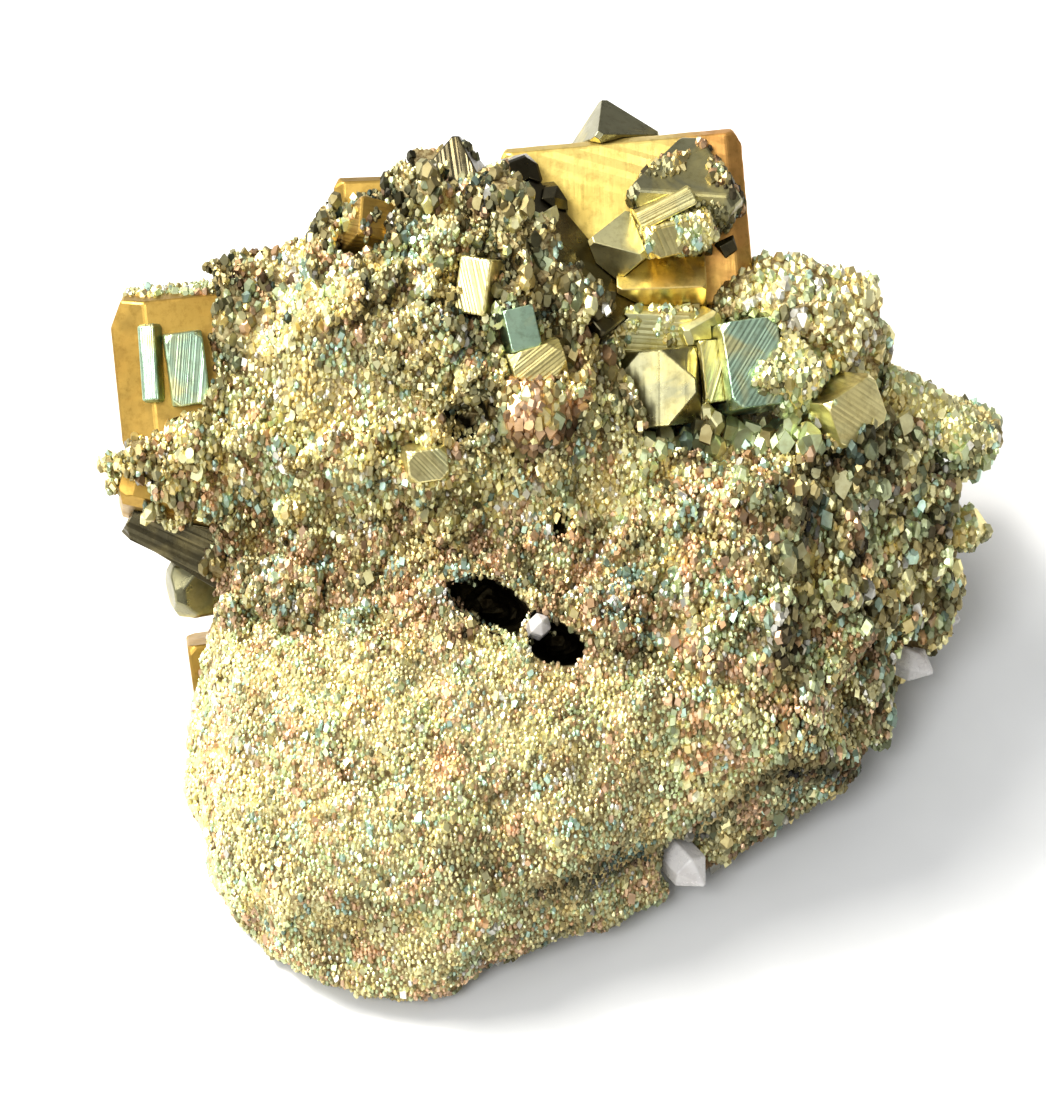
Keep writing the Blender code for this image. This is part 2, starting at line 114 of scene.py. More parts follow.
class Nodes:
    """A short way to write a node material."""

    def __init__(self, name):
        self.material = bpy.data.materials.new(name)
        self.material.use_nodes = True
        self.tree = self.material.node_tree
        self.shader = self.tree.nodes["Principled BSDF"]
        self.place = self.add("ShaderNodeTexCoord").outputs["Object"]

    def add(self, kind, **settings):
        node = self.tree.nodes.new(kind)
        for key, value in settings.items():
            setattr(node, key, value)
        return node

    def link(self, source, target):
        self.tree.links.new(source, target)

    def feed(self, value, socket):
        if isinstance(value, bpy.types.NodeSocket):
            self.link(value, socket)
        else:
            socket.default_value = value

    def noise(self, scale, detail=4.0, roughness=0.55, distortion=0.0, place=None):
        node = self.add("ShaderNodeTexNoise")
        self.link(place or self.place, node.inputs["Vector"])
        node.inputs["Scale"].default_value = scale
        node.inputs["Detail"].default_value = detail
        node.inputs["Roughness"].default_value = roughness
        node.inputs["Distortion"].default_value = distortion
        return node.outputs["Fac"]

    def stretched(self, factors, turn=(0, 0, 0)):
        node = self.add("ShaderNodeMapping")
        self.link(self.place, node.inputs["Vector"])
        node.inputs["Scale"].default_value = factors
        node.inputs["Rotation"].default_value = turn
        return node.outputs["Vector"]

    def ramp(self, fac, *stops):
        node = self.add("ShaderNodeValToRGB")
        self.link(fac, node.inputs["Fac"])
        points = node.color_ramp.elements
        while len(points) < len(stops):
            points.new(0.5)
        for point, (at, colour) in zip(points, stops):
            point.position = at
            point.color = (*colour, 1)
        return node.outputs["Color"]

    def scale_to(self, fac, low, high, start=0.3, end=0.7):
        """From low to high while fac goes from start to end."""
        node = self.add("ShaderNodeMapRange")
        self.link(fac, node.inputs["Value"])
        node.inputs["From Min"].default_value = start
        node.inputs["From Max"].default_value = end
        node.inputs["To Min"].default_value = low
        node.inputs["To Max"].default_value = high
        return node.outputs["Result"]

    def mix(self, fac, a, b, blend="MIX"):
        node = self.add("ShaderNodeMix", data_type="RGBA", blend_type=blend)
        self.feed(fac, node.inputs[0])
        self.feed(a if isinstance(a, bpy.types.NodeSocket) else (*a, 1), node.inputs[6])
        self.feed(b if isinstance(b, bpy.types.NodeSocket) else (*b, 1), node.inputs[7])
        return node.outputs[2]

    def bump(self, height, strength, distance):
        node = self.add("ShaderNodeBump")
        self.link(height, node.inputs["Height"])
        node.inputs["Strength"].default_value = strength
        node.inputs["Distance"].default_value = distance
        return node.outputs["Normal"]

    def finish(self, colour, roughness, metallic=1.0, normal=None):
        self.feed(colour, self.shader.inputs["Base Color"])
        self.feed(roughness, self.shader.inputs["Roughness"])
        self.shader.inputs["Metallic"].default_value = metallic
        if normal is not None:
            self.link(normal, self.shader.inputs["Normal"])
        return self.material


def grain_material():
    """Micro-crystals: each has its own colour, dulled in patches and finely pitted."""
    n = Nodes("pyrite_grains")
    # The tint attribute is each grain's colour with painted shade and painted glints in it.
    colour = n.add("ShaderNodeAttribute", attribute_name="tint").outputs["Color"]
    dull = n.ramp(n.noise(900, 3), (0.35, (0.80, 0.76, 0.68)), (0.6, (1, 1, 1)))
    colour = n.mix(1.0, colour, dull, "MULTIPLY")
    rough = n.scale_to(n.noise(1400, 2), 0.40, 0.56)
    return n.finish(colour, rough, 1.0, n.bump(n.noise(2600, 3), 0.2, 0.00005))


def skin_material():
    """The rock between the grains: rougher, and a dark brown that paints shade into the gaps
    between them, with near-black painted shade deep in its cavities.
    """
    n = Nodes("pyrite_groundmass")
    patches = n.ramp(
        n.noise(160, 6, 0.65),
        (0.32, (0.16, 0.12, 0.06)),
        (0.5, (0.32, 0.26, 0.13)),
        (0.68, (0.46, 0.40, 0.20)),
    )
    specks = n.ramp(n.noise(1500, 3, 0.7), (0.42, (0.45, 0.38, 0.3)), (0.58, (1, 1, 1)))
    colour = n.mix(1.0, patches, specks, "MULTIPLY")
    # The light attribute is painted light and shade: brighter on the knob, painted shade at the
    # right and in the cavities.
    light = n.add("ShaderNodeAttribute", attribute_name="light").outputs["Color"]
    colour = n.mix(1.0, colour, light, "MULTIPLY")
    rough = n.scale_to(n.noise(700, 3), 0.38, 0.62)
    return n.finish(colour, rough, 1.0, n.bump(n.noise(1300, 4), 0.5, 0.00015))


def crystal_material(name, deep, light, tarnish, amount, rough, relief, blush=None):
    """A crystal face: two tones in soft clouds, patches of tarnish, scuffs and fine streaks.

    The amount is how much of the tarnish shows. A blush is a colour that takes over between two
    places along x, in metres.
    """
    n = Nodes(name)
    colour = n.mix(n.scale_to(n.noise(90, 3, 0.5), 0.0, 1.0), deep, light)
    if blush:
        along = n.add("ShaderNodeSeparateXYZ")
        n.link(n.place, along.inputs[0])
        colour = n.mix(n.scale_to(along.outputs["X"], 0.0, 1.0, *blush[1:]), colour, blush[0])
    stain = n.ramp(n.noise(150, 4, 0.55, 0.8), (0.5, (0, 0, 0)), (0.66, (amount, amount, amount)))
    colour = n.mix(stain, colour, tarnish)
    scuffs = n.ramp(n.noise(1100, 4, 0.7), (0.36, (0.82, 0.80, 0.76)), (0.52, (1, 1, 1)))
    colour = n.mix(1.0, colour, scuffs, "MULTIPLY")
    streaks = n.noise(300, 4, 0.6, 0.0, n.stretched((6, 0.5, 0.5), (0.0, 0.3, 0.4)))
    gloss = n.scale_to(n.noise(420, 4), rough * 0.8, rough * 1.25)
    return n.finish(colour, gloss, 1.0, n.bump(streaks, relief, 0.00006))


def quartz_material():
    n = Nodes("milky_quartz")
    colour = n.ramp(
        n.noise(260, 5, 0.6),
        (0.35, (0.62, 0.58, 0.55)),
        (0.55, (0.8, 0.77, 0.74)),
        (0.75, (0.9, 0.86, 0.82)),
    )
    n.shader.inputs["Transmission Weight"].default_value = 0.12
    n.shader.inputs["IOR"].default_value = 1.54
    rough = n.scale_to(n.noise(900, 3), 0.12, 0.4)
    return n.finish(colour, rough, 0.0, n.bump(n.noise(1200, 4), 0.35, 0.0001))


MATERIALS = {
    "gold": crystal_material(
        "gold_faces",
        (0.36, 0.22, 0.045), (0.46, 0.29, 0.068), (0.42, 0.24, 0.05), 0.5, 0.42, 0.12
    ),
    "pale": crystal_material(
        "pale_faces",
        (0.80, 0.66, 0.24), (0.92, 0.83, 0.42), (0.74, 0.76, 0.42), 0.6, 0.36, 0.3
    ),
    "olive": crystal_material(
        "olive_faces",
        (0.17, 0.16, 0.09), (0.34, 0.32, 0.18), (0.60, 0.50, 0.17), 0.6, 0.30, 0.2
    ),
    "teal": crystal_material(
        "teal_faces",
        (0.34, 0.52, 0.36), (0.62, 0.82, 0.58), (0.80, 0.72, 0.32), 0.8, 0.32, 0.25
    ),
    "copper": crystal_material(
        "copper_faces",
        (0.50, 0.28, 0.12), (0.76, 0.48, 0.22), (0.64, 0.58, 0.26), 0.6, 0.4, 0.3
    ),
    "quartz": quartz_material(),
    "bright": crystal_material(
        "bright_gold",
        (0.80, 0.55, 0.14), (0.94, 0.74, 0.26), (0.84, 0.56, 0.22), 0.4, 0.34, 0.2
    ),
    "large": crystal_material(
        "large_cube",
        (0.64, 0.46, 0.11), (0.78, 0.60, 0.19), (0.62, 0.42, 0.10), 0.5, 0.42, 0.4,
        ((0.64, 0.33, 0.09), 0.0115, 0.0165),
    ),
    # Near-black faces: painted shade on crystals that lie in shadow, on the ridge wall and under
    # the left crystal.
    "wall": crystal_material(
        "painted_shade_walls",
        (0.07, 0.06, 0.035), (0.15, 0.13, 0.07), (0.30, 0.24, 0.10), 0.4, 0.28, 0.2
    ),
    "peak": crystal_material(
        "peak_faces",
        (0.56, 0.54, 0.28), (0.84, 0.76, 0.38), (0.36, 0.58, 0.48), 0.9, 0.34, 0.25
    ),
}
# Crystals whose look differs from that of the rest of their slot.
LOOKS = {
    # These crystals get the near-black wall look, painted shade for faces in shadow.
    "ridge_cube": "wall",
    "ridge_small_cube": "wall",
    "ridge_round_crystal": "wall",
    "ridge_peak": "wall",
    "right_dark_tip": "wall",
    "left_under_crystal": "wall",
    "top_octahedron": "olive",
    "recess_teal_octahedron": "peak",
    "recess_slab": "bright",
    "back_large_cube": "large",
}
GRAINS = grain_material()
SKIN = skin_material()


# ---------------------------------------------------------------- the rock's skin

def evaluated_copy(source, name, edit):
    """A new object with the mesh of another after the modifiers that edit adds to a copy of it."""
    work = linked(name + "_work", source.data.copy())
    edit(work)
    bpy.context.view_layer.update()
    graph = bpy.context.evaluated_depsgraph_get()
    mesh = bpy.data.meshes.new_from_object(work.evaluated_get(graph))
    bpy.data.objects.remove(work)
    mesh.name = name
    return linked(name, mesh)


def vertex_values(mesh, name):
    """The co or the normal of each vertex, as rows of an array."""
    flat = np.empty(len(mesh.vertices) * 3)
    mesh.vertices.foreach_get(name, flat)
    return flat.reshape(-1, 3)


def set_coordinates(mesh, points):
    mesh.vertices.foreach_set("co", np.ascontiguousarray(points, dtype=np.float32).ravel())
    mesh.update()


def cloud(points, size, seed=0.0, octaves=3):
    """Smooth noise of about -1 to 1 at each point, with features of that size in mm."""
    scale = 1 / (size * MM)
    shift = Vector((seed * 17.3, seed * 5.1, seed * 9.7))
    smooth, basis = 0.9, "PERLIN_ORIGINAL"
    return np.array([
        noise.fractal(Vector(p) * scale + shift, smooth, 2.0, octaves, noise_basis=basis)
        for p in points
    ])


def plates(points, size, seed=0.0):
    """Per point, a height of about -1 to 1 on leaning plates of that size in mm.

    The second array says how far each point is from its plate's rim, in sizes.
    """
    scale = 1 / (size * MM)
    shift = Vector((seed * 3.7, seed * 11.9, seed * 7.3))
    heights, rims = [], []
    for point in points:
        place = Vector(point) * scale + shift
        distances, centres = noise.voronoi(place)
        lean = noise.cell_vector(centres[0]) - Vector((0.5, 0.5, 0.5))
        level = 2 * noise.cell(centres[0] * 7.31) - 1
        heights.append(level + 2.4 * lean.dot(place - centres[0]))
        rims.append(distances[1] - distances[0])
    return np.array(heights), np.array(rims)


VOXEL = 0.56  # mm, the fineness of the rock's skin
LARGE_PLATE, SMALL_PLATE, SOFT_BUMP, FINE_BUMP = 7.5, 3.0, 5.0, 1.4  # mm across
RELIEF = (-2.6, 1.5)  # mm, the most that the skin sinks and rises
CALM = 1.7  # times the size of a cavity, within which the relief is low
BARE_MARGIN, BARE_SINK = 0.8, 0.9  # mm beyond the grains' gap at a bare crystal, and how deep
BASE_FLAT = (0.2, 1.8)  # mm above the table: the relief begins, and is full
ON_BASE = 0.25  # mm above the table, below which the skin stays where it is
# How bright the skin is painted: in general, with painted light on the knob, painted shade at the
# right, and near-black painted shade in the cavities.
LIGHT, KNOB_LIGHT, RIGHT_SHADE, CAVITY_LIGHT = 1.4, 0.9, 0.6, 0.05


def rock_relief(points, face, right, knob):
    """How far the skin rises, in mm: plates with cracks between them, and soft and fine bumps."""
    across, up, out = face.T
    lobe = smooth_step(-5, -11, up + 0.4 * np.maximum(across, 0))
    lobe *= smooth_step(-30, -20, out)
    hill = smooth_step(0, 6, up) * smooth_step(14, 6, across)
    rough = (0.75 + 0.45 * hill + 0.35 * right - 0.7 * knob) * (1 - 0.85 * lobe)
    large, large_rim = plates(points, LARGE_PLATE, 1)
    small, small_rim = plates(points, SMALL_PLATE, 2)
    height = rough * (1.0 * large + 0.5 * small)
    height = height + 0.5 * cloud(points, SOFT_BUMP, 2) * (1 - 0.4 * lobe)
    height += 0.16 * cloud(points, FINE_BUMP, 3, 2)
    cracks = 1.1 * smooth_step(0.12, 0.0, large_rim) + 0.5 * smooth_step(0.18, 0.0, small_rim)
    height -= rough * cracks
    height = np.clip(height, *RELIEF)
    height = np.where(inside_cavity(face, CALM), 0.3 * height - 0.3, height)
    return np.where(near_bare(points, BARE_MARGIN), np.minimum(height, -BARE_SINK), height)


def build_skin():
    """The rock's surface with its relief, in place of the plain CAD matrix."""
    def edit(work):
        remesh = work.modifiers.new("Remesh", "REMESH")
        remesh.mode, remesh.voxel_size, remesh.adaptivity = "VOXEL", VOXEL * MM, 0.0
        soft = work.modifiers.new("Soften", "SMOOTH")
        soft.iterations = 2

    skin = evaluated_copy(frame["nodes"]["matrix"], "rock", edit)
    mesh = skin.data
    points, normals = vertex_values(mesh, "co"), vertex_values(mesh, "normal")
    face = on_face(points)
    right = smooth_step(16, 24, face[:, 0])
    knob = right * smooth_step(14, 18, face[:, 1])
    off_base = smooth_step(*BASE_FLAT, points[:, 2] / MM)
    rise = rock_relief(points, face, right, knob) * off_base * MM
    moved = points + normals * rise[:, None]
    lifted = np.maximum(moved[:, 2], 0.1 * MM)
    moved[:, 2] = np.where(points[:, 2] < ON_BASE * MM, points[:, 2], lifted)
    set_coordinates(mesh, moved)
    # Painted light on the knob, painted shade at the right and near-black painted shade in the
    # cavities.
    outside = LIGHT + KNOB_LIGHT * knob - RIGHT_SHADE * right * (1 - knob)
    light = np.where(in_the_dark(face, normals), CAVITY_LIGHT, outside)
    layer = mesh.attributes.new("light", "FLOAT_COLOR", "POINT")
    layer.data.foreach_set("color", np.repeat(light, 4).astype(np.float32))
    mesh.materials.clear()
    mesh.materials.append(SKIN)
    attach(skin, "root")
    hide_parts("matrix")
    return skin


# ---------------------------------------------------------------- micro-crystals

def shape_of(bm):
    """Vertices and faces of a bmesh, which is freed."""
    verts = np.array([v.co[:] for v in bm.verts])
    faces = [[v.index for v in f.verts] for f in bm.faces]
    bm.free()
    return verts, faces


def cut_cube(planes):
    """Vertices and faces of a cube of half size 1 cut by planes (normal, distance)."""
    bm = bmesh.new()
    bmesh.ops.create_cube(bm, size=2)
    for normal, distance in planes:
        normal = Vector(normal).normalized()
        bmesh.ops.bisect_plane(
            bm, geom=bm.verts[:] + bm.edges[:] + bm.faces[:], plane_co=normal * distance,
            plane_no=normal, clear_outer=True,
        )
        bmesh.ops.holes_fill(bm, edges=[edge for edge in bm.edges if edge.is_boundary])
    bmesh.ops.recalc_face_normals(bm, faces=bm.faces[:])
    bm.verts.index_update()
    return shape_of(bm)


def bead(seed):
    """Vertices and faces of an uneven twenty-sided bead."""
    bm = bmesh.new()
    bmesh.ops.create_icosphere(bm, subdivisions=1, radius=1)
    verts, faces = shape_of(bm)
    uneven = np.random.default_rng(seed)
    return verts * uneven.uniform(0.84, 1.14, (len(verts), 1)), faces


SIGNS = (-1, 1)
OCTAHEDRAL = [(x, y, z) for x in SIGNS for y in SIGNS for z in SIGNS]
PYRITOHEDRAL = (
    [(2 * x, y, 0) for x in SIGNS for y in SIGNS]
    + [(0, 2 * x, y) for x in SIGNS for y in SIGNS]
    + [(y, 0, 2 * x) for x in SIGNS for y in SIGNS]
)
# The forms of the grains: three beads, pyritohedron, cubes with cut corners, cube, octahedron.
HABITS = [
    bead(1),
    bead(2),
    bead(3),
    cut_cube([(n, 0.95) for n in PYRITOHEDRAL]),
    cut_cube([(n, 1.05) for n in OCTAHEDRAL]),
    cut_cube([(n, 1.36) for n in OCTAHEDRAL[::2]]),
    cut_cube([(n, 0.72) for n in OCTAHEDRAL]),
]

TINTS = {
    "straw": (0.90, 0.85, 0.48),
    "gold": (0.84, 0.71, 0.34),
    "green": (0.72, 0.80, 0.48),
    "teal": (0.60, 0.80, 0.66),
    "pink": (0.92, 0.64, 0.41),
    "rust": (0.62, 0.40, 0.22),
    "silver": (0.97, 0.95, 0.84),
    "olive": (0.32, 0.30, 0.16),
    "dark": (0.12, 0.10, 0.06),
}
TINT_VALUES = np.array(list(TINTS.values()))

# One region of the rock: the spacing of its grains in mm, the shares of beads, pyritohedra,
# corner-cut cubes, cubes and octahedra, the share of larger crystals, its brightness with painted
# shade in it (as on the saddle's shadowed band), the share of each tint above, and how strong its
# blotches of painted shade are.
Region = namedtuple("Region", "spacing habits large shade tints blotches", defaults=(0.45,))
REGIONS = {
    "lobe": Region(
        0.42, (0.80, 0.08, 0.08, 0.04, 0), 0.003, 1.0, (48, 12, 22, 4, 10, 1, 3, 2, 0)
    ),
    "saddle": Region(
        0.45, (0.72, 0.08, 0.12, 0.06, 0.02), 0.010, 0.69, (16, 14, 8, 7, 30, 16, 3, 5, 1)
    ),
    "mid": Region(
        0.52, (0.58, 0.12, 0.16, 0.10, 0.04), 0.018, 0.9, (28, 16, 18, 7, 16, 7, 4, 4, 1)
    ),
    "hill": Region(
        0.50, (0.58, 0.12, 0.16, 0.12, 0.02), 0.010, 1.0, (58, 24, 13, 4, 2, 3, 4, 3, 0)
    ),
    "dark": Region(
        0.74, (0.46, 0.14, 0.22, 0.12, 0.06), 0.02, 1.0, (44, 14, 24, 4, 3, 2, 4, 12, 2), 0.9
    ),
    "ledge": Region(
        0.48, (0.60, 0.12, 0.16, 0.10, 0.02), 0.012, 1.12, (32, 14, 26, 4, 12, 6, 3, 3, 0)
    ),
    "knob": Region(
        0.92, (0.90, 0.02, 0.08, 0, 0), 0.0, 1.05, (64, 8, 18, 1, 0, 0, 10, 1, 0)
    ),
    "recess": Region(
        1.0, (0.16, 0.20, 0.28, 0.24, 0.12), 0.08, 0.75, (18, 16, 12, 6, 0, 4, 0, 40, 10)
    ),
    "rim": Region(
        1.1, (0.14, 0.16, 0.40, 0.22, 0.08), 0.04, 0.95, (38, 12, 38, 5, 0, 1, 2, 4, 0)
    ),
    "copper": Region(
        0.8, (0.30, 0.20, 0.30, 0.20, 0), 0, 0.62, (16, 40, 10, 2, 16, 22, 0, 4, 0)
    ),
    "druse": Region(
        0.62, (0.40, 0.14, 0.34, 0.12, 0), 0, 0.92, (52, 8, 34, 5, 0, 0, 3, 4, 0)
    ),
    "crust": Region(
        0.5, (0.50, 0.10, 0.30, 0.10, 0), 0.02, 1.0, (40, 20, 30, 4, 2, 1, 2, 1, 0)
    ),
    "dusk": Region(
        0.6, (0.50, 0.14, 0.24, 0.12, 0), 0, 0.7, (6, 14, 6, 2, 0, 12, 0, 48, 12)
    ),
    "hidden": Region(
        0.74, (0.50, 0.14, 0.18, 0.14, 0.04), 0.01, 1.1, (46, 26, 14, 2, 5, 4, 0, 3, 0)
    ),
}
REGION_NAMES = list(REGIONS)
SPACING = np.array([region.spacing for region in REGIONS.values()])
HABIT_SHARES = np.array([region.habits for region in REGIONS.values()])
LARGE = np.array([region.large for region in REGIONS.values()])
SHADES = np.array([region.shade for region in REGIONS.values()])
SHADE_BLOTCHES = np.array([region.blotches for region in REGIONS.values()])
TINT_SHARES = np.array([region.tints for region in REGIONS.values()], dtype=float)

# The direction the painted light comes from; grains that face away from it get painted shade.
LIT = np.array([-0.45, -0.05, 0.89])
# Spots of painted shade on the broad face: middle, half sizes and depth of the painted shade.
PAINTED_SHADE_SPOTS = (
    ((32, 9.5), (5.0, 4.5), 0.72),
    ((25, 4.5), (2.2, 5.0), 0.65),
    ((30, 0), (1.6, 4.0), 0.5),
    ((25, -8.5), (4.0, 2.5), 0.6),
    ((33, -13.5), (1.3, 3.6), 0.65),
)
# The painted shadow line along the lower edge of the face: places across and up, its half width and
# depth.
SHADOW_LINE = ((-4.3, 12.8, 22.5, 33.0), (-35.2, -30.5, -22.4, -23.3))
SHADOW_LINE_WIDTH, SHADOW_LINE_DEPTH = 1.4, 0.78
BELOW_SHADOW_LINE = 0.15  # the painted shade below the shadow line
FLANK = 0.8  # the shade of the hill's steep right flank
# How tints vary: size in mm and strength of the patches that favour a tint, and of those that are
# lighter or darker, and how much one grain differs from the next.
TINT_PATCH, TINT_PULL = 4.0, 4.5
TONE_PATCH, TONE_CHANGE = 7.0, 0.16
GRAIN_CHANGE = 0.07
# Blotches of painted shade, for crevices: size in mm and depth, and the shares of grains painted as
# glints everywhere and in the blotches.
SHADE_BLOTCH_SIZE, SHADE_BLOTCH_DEPTH = 5.5, 0.62
PAINTED_GLINTS, PAINTED_GLINTS_IN_BLOTCHES = 0.08, 0.22
TINT_LIMITS = (0.02, 0.99)


def region_of(face, normals):
    """The number of the region that each point of the rock is in; borders are in mm on the face."""
    across, up, out = face.T
    facing = normals @ FACE_AXES[2]
    wobble = 1.6 * np.sin(across * 0.45) + 1.2 * np.sin(across * 1.1 + up * 0.7)
    crest = np.interp(up, (-30, -16, -1, 13), (16, 22, 21, 28)) + 0.6 * wobble
    number = {name: i for i, name in enumerate(REGIONS)}
    region = np.full(len(face), number["hidden"])
    behind = (across > -7) & (up > 12)
    shown = (facing > np.where(behind, -0.15, -0.6)) & (out > -26)
    region[shown] = number["mid"]
    region[shown & (across < 9) & (up + wobble < 3)] = number["saddle"]
    region[shown & (up + 0.6 * wobble + 0.42 * np.maximum(across, 0) < -8)] = number["lobe"]
    region[shown & (up + wobble > 3) & (across < 13)] = number["hill"]
    region[shown & (across > crest) & (up < 15)] = number["dark"]
    below = (up + 0.5 * wobble < -12) & (up < -0.42 * across - 4)
    region[shown & (across > 11) & below] = number["ledge"]
    region[shown & (across > 26) & (across < 34) & (up < -8) & (up > -26)] = number["ledge"]
    region[shown & (across > 9) & (across < 34) & (up > 10.5) & (out > -4)] = number["rim"]
    deep = out < 4.5 - 0.35 * (across + 3)
    region[shown & (across > -3) & (across < 24) & (up > 14) & deep] = number["recess"]
    region[shown & (across > 12.5) & (up > 16)] = number["knob"]
    return region


def inside_cavity(face, larger):
    """Whether each point is inside one of the open cavities, made that many times larger."""
    inside = np.zeros(len(face), dtype=bool)
    for at, half, turn in CAVITIES:
        angle = math.radians(turn)
        away = face - np.array(at)
        away = away * (1 + 0.14 * np.sin(1.3 * away[:, :1] + 1.9 * away[:, 1:2]))
        x = away[:, 0] * math.cos(angle) + away[:, 1] * math.sin(angle)
        y = away[:, 1] * math.cos(angle) - away[:, 0] * math.sin(angle)
        z = away[:, 2]
        inside |= (x / half[0]) ** 2 + (y / half[1]) ** 2 + (z / half[2]) ** 2 < larger ** 2
    return inside


STEEP = 0.6  # of the way that the broad face looks; a cavity's wall looks that way less
DEEP = 7.5  # mm out, which the bottom of a cavity is below
CAVITY_WALL = 1.25  # times the size of a cavity, as far as its wall may reach


def in_the_dark(face, normals):
    """Whether each point of the rock is on the wall or the bottom of a cavity."""
    steep_or_deep = (normals @ FACE_AXES[2] < STEEP) | (face[:, 2] < DEEP)
    return inside_cavity(face, 1.0) | (inside_cavity(face, CAVITY_WALL) & steep_or_deep)


def near_bare(points, extra=0.0):
    """Whether each point, in metres, is near a crystal that the grains leave bare."""
    near = np.zeros(len(points), dtype=bool)
    for node, reach in BARE.items():
        mesh = frame["nodes"][node].data
        corners = [v.co for v in mesh.vertices]
        tree = BVHTree.FromPolygons(corners, [p.vertices[:] for p in mesh.polygons])
        reach = (reach + extra) * MM
        low, high = np.array(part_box(node))
        candidates = np.all((points > low - reach) & (points < high + reach), axis=1) & ~near
        for i in np.flatnonzero(candidates):
            near[i] = tree.find_nearest(Vector(points[i]), reach)[0] is not None
    return near


def spread(mesh, per_mm2):
    """Even random points on a mesh, in metres, and the normals there."""
    mesh.calc_loop_triangles()
    corners = np.empty(len(mesh.loop_triangles) * 3, dtype=np.int64)
    mesh.loop_triangles.foreach_get("vertices", corners)
    corners = corners.reshape(-1, 3)
    points = vertex_values(mesh, "co")
    a, b, c = points[corners[:, 0]], points[corners[:, 1]], points[corners[:, 2]]
    cross = np.cross(b - a, c - a)
    area = np.linalg.norm(cross, axis=1)
    count = int(area.sum() / 2 * 1e6 * per_mm2)
    pick = rng.choice(len(area), size=count, p=area / area.sum())
    u, v = rng.random((2, count))
    fold = u + v > 1
    u[fold], v[fold] = 1 - u[fold], 1 - v[fold]
    spots = a[pick] + (b - a)[pick] * u[:, None] + (c - a)[pick] * v[:, None]
    return spots, (cross / np.maximum(area, 1e-20)[:, None])[pick]


def apart(spots, spacing):
    """The numbers of the points that stay when each keeps later ones its spacing in mm away."""
    tree = KDTree(len(spots))
    for i, spot in enumerate(spots):
        tree.insert(spot, i)
    tree.balance()
    free = np.ones(len(spots), dtype=bool)
    kept = []
    for i, spot in enumerate(spots):
        if free[i]:
            kept.append(i)
            for _, other, _ in tree.find_range(spot, spacing[i] * MM):
                free[other] = False
    return np.array(kept)


# Random points per mm2, among which the grains' places are chosen, on the rock and on a crystal.
ROCK_TRIES, DRUSE_TRIES = 24, 30
HIDDEN_SHARE = 0.3  # of the points tried where the photograph doesn't show the rock
FOOT = 0.5  # mm above the table, where the grains begin
UNDERSIDE = -0.93  # no grain grows where the rock faces down more than this


def scatter(skin):
    """Evenly packed points on the rock, their normals and regions."""
    spots, normals = spread(skin.data, ROCK_TRIES)
    face = on_face(spots)
    region = region_of(face, normals)
    hidden = region == REGION_NAMES.index("hidden")
    keep = (spots[:, 2] > FOOT * MM) & (normals[:, 2] > UNDERSIDE) & ~in_the_dark(face, normals)
    keep &= ~hidden | (rng.random(len(spots)) < HIDDEN_SHARE)
    keep[keep] = ~near_bare(spots[keep])
    spots, normals, region = spots[keep], normals[keep], region[keep]
    chosen = apart(spots, SPACING[region])
    return spots[chosen], normals[chosen], region[chosen]


def frames_for(normals, lean):
    """Rotation matrices whose third column leans, at random, from the normal."""
    axis = normals + rng.normal(size=normals.shape) * lean
    axis /= np.linalg.norm(axis, axis=1)[:, None]
    other = rng.normal(size=normals.shape)
    first = np.cross(other, axis)
    first /= np.linalg.norm(first, axis=1)[:, None]
    second = np.cross(axis, first)
    return np.stack([first, second, axis], axis=2)


DRAWN_UP, DRAWN_IN = 0.32, 0.1  # how much longer and narrower the grains are along the slope
PATCH = 0.42  # the radius of a grain's patch of the texture square, of the patch's side
LOWEST = 0.06  # mm above the table, the lowest that a grain reaches


def drawn_out(offsets):
    """Offsets of a grain's corners drawn out a little along the slope of the face."""
    along = (offsets @ FACE_AXES[1])[..., None] * FACE_AXES[1]
    across = (offsets @ FACE_AXES[0])[..., None] * FACE_AXES[0]
    return offsets + DRAWN_UP * along - DRAWN_IN * across


def grain_arrays(spots, turns, sizes, habits, tints):
    """The corners of many grains, and the corner rings, starts, lengths and tints of their faces.

    The last array is where each ring's corners are on the texture square, of which every grain has
    a patch of its own.
    """
    side = math.ceil(math.sqrt(len(spots)))
    verts, loops, starts, totals, face_tint, uv = [], [], [], [], [], []
    vert_count = loop_count = 0
    for number, (shape, faces) in enumerate(HABITS):
        member = np.flatnonzero(habits == number)
        if not len(member):
            continue
        sized = shape[None] * sizes[member][:, None, :]
        placed = drawn_out(np.einsum("nij,nvj->nvi", turns[member], sized))
        placed += spots[member][:, None, :]
        placed[..., 2] = np.maximum(placed[..., 2], LOWEST * MM)
        verts.append(placed.reshape(-1, 3))
        flat = np.array([i for face in faces for i in face])
        lengths = np.array([len(face) for face in faces])
        first = vert_count + np.arange(len(member)) * len(shape)
        loops.append((first[:, None] + flat[None]).ravel())
        begin = np.concatenate([[0], np.cumsum(lengths)[:-1]])
        own = loop_count + np.arange(len(member)) * len(flat)
        starts.append((own[:, None] + begin[None]).ravel())
        totals.append(np.tile(lengths, len(member)))
        face_tint.append(np.repeat(tints[member], len(faces), axis=0))
        turn = np.concatenate([np.arange(n) * math.tau / n for n in lengths])
        ring = np.stack([np.cos(turn), np.sin(turn)], axis=1) * PATCH / side
        middle = np.stack([member % side + 0.5, member // side + 0.5], axis=1) / side
        uv.append((middle[:, None] + ring[None]).reshape(-1, 2))
        vert_count += len(member) * len(shape)
        loop_count += len(member) * len(flat)
    return map(np.concatenate, (verts, loops, starts, totals, face_tint, uv))


